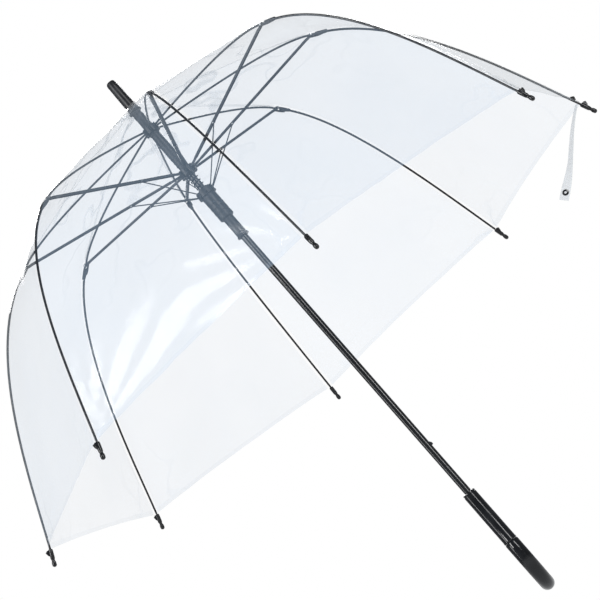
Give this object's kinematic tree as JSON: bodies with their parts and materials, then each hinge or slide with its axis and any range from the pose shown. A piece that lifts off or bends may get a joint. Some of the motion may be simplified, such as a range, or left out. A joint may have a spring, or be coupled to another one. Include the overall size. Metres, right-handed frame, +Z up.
{
  "type": "stick umbrella",
  "caption": "Clear film dome stick umbrella, open, with a jump-open frame, black ribs, tapered ferrule, closing strap and crook handle.",
  "frame": {"origin": "on the shaft axis at the middle of the straight grip sleeve, where a hand holds the umbrella", "axes": "+Z up the shaft to the ferrule; +X towards the rib that carries the closing strap and the side of the shaft catch; +Y within 7 degrees of the way that the crook's hook points; umbrella upright, canopy open above the handle"},
  "size_m": [0.8706, 0.8706, 0.8325],
  "materials": {
    "shaft_tube": "gloss black lacquer on steel tube",
    "black_plastic": "gloss black moulded plastic",
    "frame_plastic": "satin black moulded plastic",
    "rib_rod": "black fibreglass rod",
    "stretcher_steel": "black coated pressed steel",
    "wire": "dark steel wire",
    "clear_film": "clear flexible film",
    "strap_film": "cloudy flexible strap"
  },
  "bodies": {
    "handle_and_shaft": {"shaft": "shaft_tube", "ferrule": "black_plastic", "top_notch": "frame_plastic", "grip_sleeve": "black_plastic", "crook_handle": "black_plastic"},
    "rib_inner_1": {"rib_inner_1": "wire"},
    "rib_outer_1": {"rib_outer_1": "rib_rod", "rib_tip_1": "black_plastic", "snap_stud": "black_plastic"},
    "stretcher_1": {"stretcher_1": "stretcher_steel"},
    "link_1": {"link_1": "wire"},
    "gore_1": {"canopy_panel_1": "clear_film"},
    "rib_inner_2": {"rib_inner_2": "wire"},
    "rib_outer_2": {"rib_outer_2": "rib_rod", "rib_tip_2": "black_plastic"},
    "stretcher_2": {"stretcher_2": "stretcher_steel"},
    "link_2": {"link_2": "wire"},
    "gore_2": {"canopy_panel_2": "clear_film"},
    "rib_inner_3": {"rib_inner_3": "wire"},
    "rib_outer_3": {"rib_outer_3": "rib_rod", "rib_tip_3": "black_plastic"},
    "stretcher_3": {"stretcher_3": "stretcher_steel"},
    "link_3": {"link_3": "wire"},
    "gore_3": {"canopy_panel_3": "clear_film"},
    "rib_inner_4": {"rib_inner_4": "wire"},
    "rib_outer_4": {"rib_outer_4": "rib_rod", "rib_tip_4": "black_plastic"},
    "stretcher_4": {"stretcher_4": "stretcher_steel"},
    "link_4": {"link_4": "wire"},
    "gore_4": {"canopy_panel_4": "clear_film"},
    "rib_inner_5": {"rib_inner_5": "wire"},
    "rib_outer_5": {"rib_outer_5": "rib_rod", "rib_tip_5": "black_plastic"},
    "stretcher_5": {"stretcher_5": "stretcher_steel"},
    "link_5": {"link_5": "wire"},
    "gore_5": {"canopy_panel_5": "clear_film"},
    "rib_inner_6": {"rib_inner_6": "wire"},
    "rib_outer_6": {"rib_outer_6": "rib_rod", "rib_tip_6": "black_plastic"},
    "stretcher_6": {"stretcher_6": "stretcher_steel"},
    "link_6": {"link_6": "wire"},
    "gore_6": {"canopy_panel_6": "clear_film"},
    "rib_inner_7": {"rib_inner_7": "wire"},
    "rib_outer_7": {"rib_outer_7": "rib_rod", "rib_tip_7": "black_plastic"},
    "stretcher_7": {"stretcher_7": "stretcher_steel"},
    "link_7": {"link_7": "wire"},
    "gore_7": {"canopy_panel_7": "clear_film"},
    "rib_inner_8": {"rib_inner_8": "wire"},
    "rib_outer_8": {"rib_outer_8": "rib_rod", "rib_tip_8": "black_plastic"},
    "stretcher_8": {"stretcher_8": "stretcher_steel"},
    "link_8": {"link_8": "wire"},
    "gore_8": {"canopy_panel_8": "clear_film"},
    "upper_runner": {"upper_runner": "frame_plastic", "main_spring": "wire"},
    "lower_runner": {"lower_runner": "frame_plastic"},
    "catch": {"catch": "wire"},
    "strap": {"strap": "strap_film", "snap_socket": "black_plastic"}
  },
  "joints": [
    {"name": "canopy_fold", "type": "hinge", "parent": "handle_and_shaft", "child": "rib_inner_1", "pos_m": [0.008, 0, 0.639], "axis": [0, 1, 0], "range_deg": [0, 73.83], "stiffness_Nm_per_rad": 3, "springref_deg": -45.84},
    {"name": "rib_1_bend", "type": "hinge", "parent": "rib_inner_1", "child": "rib_outer_1", "pos_m": [0.231, 0, 0.603], "axis": [0, 1, 0], "range_deg": [-38.58, 0]},
    {"name": "stretcher_1_hinge", "type": "hinge", "parent": "rib_inner_1", "child": "stretcher_1", "pos_m": [0.231, 0, 0.603], "axis": [0, 1, 0], "range_deg": [-147.66, 0]},
    {"name": "link_1_hinge", "type": "hinge", "parent": "stretcher_1", "child": "link_1", "pos_m": [0.08169, 0, 0.57798], "axis": [0, 1, 0], "range_deg": [0, 22.15]},
    {"name": "gore_1_gather", "type": "hinge", "parent": "handle_and_shaft", "child": "gore_1", "pos_m": [-0.18308, -0.07583, 0.81219], "axis": [-0.3827, 0.9239, 0], "range_deg": [0, 33.34], "deforming": ["canopy_panel_1"]},
    {"name": "rib_2_fold", "type": "hinge", "parent": "handle_and_shaft", "child": "rib_inner_2", "pos_m": [0.00566, 0.00566, 0.639], "axis": [-0.7071, 0.7071, 0], "range_deg": [0, 73.83]},
    {"name": "rib_2_bend", "type": "hinge", "parent": "rib_inner_2", "child": "rib_outer_2", "pos_m": [0.16334, 0.16334, 0.603], "axis": [-0.7071, 0.7071, 0], "range_deg": [-38.58, 0]},
    {"name": "stretcher_2_hinge", "type": "hinge", "parent": "rib_inner_2", "child": "stretcher_2", "pos_m": [0.16334, 0.16334, 0.603], "axis": [-0.7071, 0.7071, 0], "range_deg": [-147.66, 0]},
    {"name": "link_2_hinge", "type": "hinge", "parent": "stretcher_2", "child": "link_2", "pos_m": [0.05776, 0.05776, 0.57798], "axis": [-0.7071, 0.7071, 0], "range_deg": [0, 22.15]},
    {"name": "gore_2_gather", "type": "hinge", "parent": "handle_and_shaft", "child": "gore_2", "pos_m": [-0.07583, -0.18308, 0.81219], "axis": [-0.9239, 0.3827, 0], "range_deg": [0, 33.34], "deforming": ["canopy_panel_2"]},
    {"name": "rib_3_fold", "type": "hinge", "parent": "handle_and_shaft", "child": "rib_inner_3", "pos_m": [0, 0.008, 0.639], "axis": [-1, 0, 0], "range_deg": [0, 73.83]},
    {"name": "rib_3_bend", "type": "hinge", "parent": "rib_inner_3", "child": "rib_outer_3", "pos_m": [0, 0.231, 0.603], "axis": [-1, 0, 0], "range_deg": [-38.58, 0]},
    {"name": "stretcher_3_hinge", "type": "hinge", "parent": "rib_inner_3", "child": "stretcher_3", "pos_m": [0, 0.231, 0.603], "axis": [-1, 0, 0], "range_deg": [-147.66, 0]},
    {"name": "link_3_hinge", "type": "hinge", "parent": "stretcher_3", "child": "link_3", "pos_m": [0, 0.08169, 0.57798], "axis": [-1, 0, 0], "range_deg": [0, 22.15]},
    {"name": "gore_3_gather", "type": "hinge", "parent": "handle_and_shaft", "child": "gore_3", "pos_m": [0.07583, -0.18308, 0.81219], "axis": [-0.9239, -0.3827, 0], "range_deg": [0, 33.34], "deforming": ["canopy_panel_3"]},
    {"name": "rib_4_fold", "type": "hinge", "parent": "handle_and_shaft", "child": "rib_inner_4", "pos_m": [-0.00566, 0.00566, 0.639], "axis": [-0.7071, -0.7071, 0], "range_deg": [0, 73.83]},
    {"name": "rib_4_bend", "type": "hinge", "parent": "rib_inner_4", "child": "rib_outer_4", "pos_m": [-0.16334, 0.16334, 0.603], "axis": [-0.7071, -0.7071, 0], "range_deg": [-38.58, 0]},
    {"name": "stretcher_4_hinge", "type": "hinge", "parent": "rib_inner_4", "child": "stretcher_4", "pos_m": [-0.16334, 0.16334, 0.603], "axis": [-0.7071, -0.7071, 0], "range_deg": [-147.66, 0]},
    {"name": "link_4_hinge", "type": "hinge", "parent": "stretcher_4", "child": "link_4", "pos_m": [-0.05776, 0.05776, 0.57798], "axis": [-0.7071, -0.7071, 0], "range_deg": [0, 22.15]},
    {"name": "gore_4_gather", "type": "hinge", "parent": "handle_and_shaft", "child": "gore_4", "pos_m": [0.18308, -0.07583, 0.81219], "axis": [-0.3827, -0.9239, 0], "range_deg": [0, 33.34], "deforming": ["canopy_panel_4"]},
    {"name": "rib_5_fold", "type": "hinge", "parent": "handle_and_shaft", "child": "rib_inner_5", "pos_m": [-0.008, 0, 0.639], "axis": [0, -1, 0], "range_deg": [0, 73.83]},
    {"name": "rib_5_bend", "type": "hinge", "parent": "rib_inner_5", "child": "rib_outer_5", "pos_m": [-0.231, 0, 0.603], "axis": [0, -1, 0], "range_deg": [-38.58, 0]},
    {"name": "stretcher_5_hinge", "type": "hinge", "parent": "rib_inner_5", "child": "stretcher_5", "pos_m": [-0.231, 0, 0.603], "axis": [0, -1, 0], "range_deg": [-147.66, 0]},
    {"name": "link_5_hinge", "type": "hinge", "parent": "stretcher_5", "child": "link_5", "pos_m": [-0.08169, 0, 0.57798], "axis": [0, -1, 0], "range_deg": [0, 22.15]},
    {"name": "gore_5_gather", "type": "hinge", "parent": "handle_and_shaft", "child": "gore_5", "pos_m": [0.18308, 0.07583, 0.81219], "axis": [0.3827, -0.9239, 0], "range_deg": [0, 33.34], "deforming": ["canopy_panel_5"]},
    {"name": "rib_6_fold", "type": "hinge", "parent": "handle_and_shaft", "child": "rib_inner_6", "pos_m": [-0.00566, -0.00566, 0.639], "axis": [0.7071, -0.7071, 0], "range_deg": [0, 73.83]},
    {"name": "rib_6_bend", "type": "hinge", "parent": "rib_inner_6", "child": "rib_outer_6", "pos_m": [-0.16334, -0.16334, 0.603], "axis": [0.7071, -0.7071, 0], "range_deg": [-38.58, 0]},
    {"name": "stretcher_6_hinge", "type": "hinge", "parent": "rib_inner_6", "child": "stretcher_6", "pos_m": [-0.16334, -0.16334, 0.603], "axis": [0.7071, -0.7071, 0], "range_deg": [-147.66, 0]},
    {"name": "link_6_hinge", "type": "hinge", "parent": "stretcher_6", "child": "link_6", "pos_m": [-0.05776, -0.05776, 0.57798], "axis": [0.7071, -0.7071, 0], "range_deg": [0, 22.15]},
    {"name": "gore_6_gather", "type": "hinge", "parent": "handle_and_shaft", "child": "gore_6", "pos_m": [0.07583, 0.18308, 0.81219], "axis": [0.9239, -0.3827, 0], "range_deg": [0, 33.34], "deforming": ["canopy_panel_6"]},
    {"name": "rib_7_fold", "type": "hinge", "parent": "handle_and_shaft", "child": "rib_inner_7", "pos_m": [0, -0.008, 0.639], "axis": [1, 0, 0], "range_deg": [0, 73.83]},
    {"name": "rib_7_bend", "type": "hinge", "parent": "rib_inner_7", "child": "rib_outer_7", "pos_m": [0, -0.231, 0.603], "axis": [1, 0, 0], "range_deg": [-38.58, 0]},
    {"name": "stretcher_7_hinge", "type": "hinge", "parent": "rib_inner_7", "child": "stretcher_7", "pos_m": [0, -0.231, 0.603], "axis": [1, 0, 0], "range_deg": [-147.66, 0]},
    {"name": "link_7_hinge", "type": "hinge", "parent": "stretcher_7", "child": "link_7", "pos_m": [0, -0.08169, 0.57798], "axis": [1, 0, 0], "range_deg": [0, 22.15]},
    {"name": "gore_7_gather", "type": "hinge", "parent": "handle_and_shaft", "child": "gore_7", "pos_m": [-0.07583, 0.18308, 0.81219], "axis": [0.9239, 0.3827, 0], "range_deg": [0, 33.34], "deforming": ["canopy_panel_7"]},
    {"name": "rib_8_fold", "type": "hinge", "parent": "handle_and_shaft", "child": "rib_inner_8", "pos_m": [0.00566, -0.00566, 0.639], "axis": [0.7071, 0.7071, 0], "range_deg": [0, 73.83]},
    {"name": "rib_8_bend", "type": "hinge", "parent": "rib_inner_8", "child": "rib_outer_8", "pos_m": [0.16334, -0.16334, 0.603], "axis": [0.7071, 0.7071, 0], "range_deg": [-38.58, 0]},
    {"name": "stretcher_8_hinge", "type": "hinge", "parent": "rib_inner_8", "child": "stretcher_8", "pos_m": [0.16334, -0.16334, 0.603], "axis": [0.7071, 0.7071, 0], "range_deg": [-147.66, 0]},
    {"name": "link_8_hinge", "type": "hinge", "parent": "stretcher_8", "child": "link_8", "pos_m": [0.05776, -0.05776, 0.57798], "axis": [0.7071, 0.7071, 0], "range_deg": [0, 22.15]},
    {"name": "gore_8_gather", "type": "hinge", "parent": "handle_and_shaft", "child": "gore_8", "pos_m": [-0.18308, 0.07583, 0.81219], "axis": [0.3827, 0.9239, 0], "range_deg": [0, 33.34], "deforming": ["canopy_panel_8"]},
    {"name": "upper_runner_level", "type": "hinge", "parent": "stretcher_1", "child": "upper_runner", "pos_m": [0.008, 0, 0.567], "axis": [0, 1, 0], "range_deg": [0, 73.83]},
    {"name": "lower_runner_slide", "type": "slide", "parent": "upper_runner", "child": "lower_runner", "axis": [0, 0, 1], "range_m": [0, 0.02524], "deforming": ["main_spring"]},
    {"name": "catch_press", "type": "slide", "parent": "handle_and_shaft", "child": "catch", "axis": [-1, 0, 0], "range_m": [0, 0.0024], "stiffness_N_per_m": 600, "springref_m": -0.002},
    {"name": "strap_swing", "type": "hinge", "parent": "rib_outer_1", "child": "strap", "pos_m": [0.4185, -0.01, 0.314], "axis": [0, 1, 0], "range_deg": [-83.75, 0]}
  ],
  "couplings": [
    {"joint": "rib_1_bend", "follows": "canopy_fold", "ratio": -0.52248},
    {"joint": "stretcher_1_hinge", "follows": "canopy_fold", "ratio": -2},
    {"joint": "link_1_hinge", "follows": "canopy_fold", "ratio": 0.30003},
    {"joint": "gore_1_gather", "follows": "canopy_fold", "ratio": 0.45154},
    {"joint": "rib_2_fold", "follows": "canopy_fold", "ratio": 1},
    {"joint": "rib_2_bend", "follows": "canopy_fold", "ratio": -0.52248},
    {"joint": "stretcher_2_hinge", "follows": "canopy_fold", "ratio": -2},
    {"joint": "link_2_hinge", "follows": "canopy_fold", "ratio": 0.30003},
    {"joint": "gore_2_gather", "follows": "canopy_fold", "ratio": 0.45154},
    {"joint": "rib_3_fold", "follows": "canopy_fold", "ratio": 1},
    {"joint": "rib_3_bend", "follows": "canopy_fold", "ratio": -0.52248},
    {"joint": "stretcher_3_hinge", "follows": "canopy_fold", "ratio": -2},
    {"joint": "link_3_hinge", "follows": "canopy_fold", "ratio": 0.30003},
    {"joint": "gore_3_gather", "follows": "canopy_fold", "ratio": 0.45154},
    {"joint": "rib_4_fold", "follows": "canopy_fold", "ratio": 1},
    {"joint": "rib_4_bend", "follows": "canopy_fold", "ratio": -0.52248},
    {"joint": "stretcher_4_hinge", "follows": "canopy_fold", "ratio": -2},
    {"joint": "link_4_hinge", "follows": "canopy_fold", "ratio": 0.30003},
    {"joint": "gore_4_gather", "follows": "canopy_fold", "ratio": 0.45154},
    {"joint": "rib_5_fold", "follows": "canopy_fold", "ratio": 1},
    {"joint": "rib_5_bend", "follows": "canopy_fold", "ratio": -0.52248},
    {"joint": "stretcher_5_hinge", "follows": "canopy_fold", "ratio": -2},
    {"joint": "link_5_hinge", "follows": "canopy_fold", "ratio": 0.30003},
    {"joint": "gore_5_gather", "follows": "canopy_fold", "ratio": 0.45154},
    {"joint": "rib_6_fold", "follows": "canopy_fold", "ratio": 1},
    {"joint": "rib_6_bend", "follows": "canopy_fold", "ratio": -0.52248},
    {"joint": "stretcher_6_hinge", "follows": "canopy_fold", "ratio": -2},
    {"joint": "link_6_hinge", "follows": "canopy_fold", "ratio": 0.30003},
    {"joint": "gore_6_gather", "follows": "canopy_fold", "ratio": 0.45154},
    {"joint": "rib_7_fold", "follows": "canopy_fold", "ratio": 1},
    {"joint": "rib_7_bend", "follows": "canopy_fold", "ratio": -0.52248},
    {"joint": "stretcher_7_hinge", "follows": "canopy_fold", "ratio": -2},
    {"joint": "link_7_hinge", "follows": "canopy_fold", "ratio": 0.30003},
    {"joint": "gore_7_gather", "follows": "canopy_fold", "ratio": 0.45154},
    {"joint": "rib_8_fold", "follows": "canopy_fold", "ratio": 1},
    {"joint": "rib_8_bend", "follows": "canopy_fold", "ratio": -0.52248},
    {"joint": "stretcher_8_hinge", "follows": "canopy_fold", "ratio": -2},
    {"joint": "link_8_hinge", "follows": "canopy_fold", "ratio": 0.30003},
    {"joint": "gore_8_gather", "follows": "canopy_fold", "ratio": 0.45154},
    {"joint": "upper_runner_level", "follows": "canopy_fold", "ratio": 1},
    {"joint": "lower_runner_slide", "follows": "canopy_fold", "m_per_rad": 0.019588},
    {"joint": "strap_swing", "follows": "canopy_fold", "ratio": -1.1344}
  ]
}
